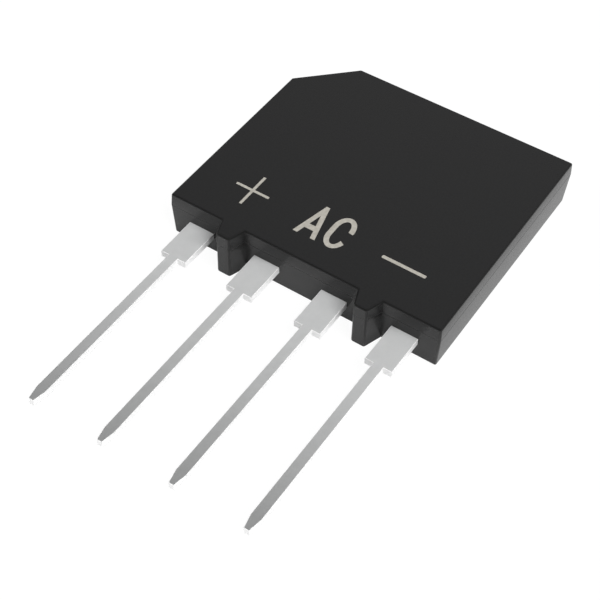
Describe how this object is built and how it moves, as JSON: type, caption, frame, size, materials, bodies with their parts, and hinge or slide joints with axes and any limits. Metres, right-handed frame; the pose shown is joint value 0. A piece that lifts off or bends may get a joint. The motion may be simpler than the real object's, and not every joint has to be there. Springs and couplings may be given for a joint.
{
  "type": "bridge rectifier",
  "caption": "Single-phase in-line bridge rectifier: flat black epoxy body with a cut corner, standoffs between the outer lead pairs, and flat tinned leads with wide shoulders.",
  "frame": {"origin": "middle of the back face, below the middle of the marked face", "axes": "+X across the leads from the positive lead to the negative one, +Y along the leads away from their tips, +Z out of the marked face"},
  "size_m": [0.02, 0.034, 0.0035],
  "materials": {
    "epoxy": "moulded black epoxy, fine matte",
    "tinned_lead": "matte tin plating on copper",
    "silicon": "glass-passivated silicon",
    "clip_copper": "plain rolled copper",
    "solder": "reflowed solder"
  },
  "bodies": {
    "root": {"epoxy_body": "epoxy", "lead_positive": "tinned_lead", "lead_ac_1": "tinned_lead", "lead_ac_2": "tinned_lead", "lead_negative": "tinned_lead", "diode_chip_1": "silicon", "diode_chip_2": "silicon", "diode_chip_3": "silicon", "diode_chip_4": "silicon", "jumper_clip_1": "clip_copper", "jumper_clip_2": "clip_copper", "bridge_clip": "clip_copper", "solder_under_chip_1": "solder", "solder_under_chip_2": "solder", "solder_under_chip_3": "solder", "solder_under_chip_4": "solder", "solder_on_chip_1": "solder", "solder_on_chip_2": "solder", "solder_on_chip_3": "solder", "solder_on_chip_4": "solder", "solder_foot_ac_1": "solder", "solder_foot_ac_2": "solder", "solder_foot_negative": "solder"}
  },
  "joints": []
}
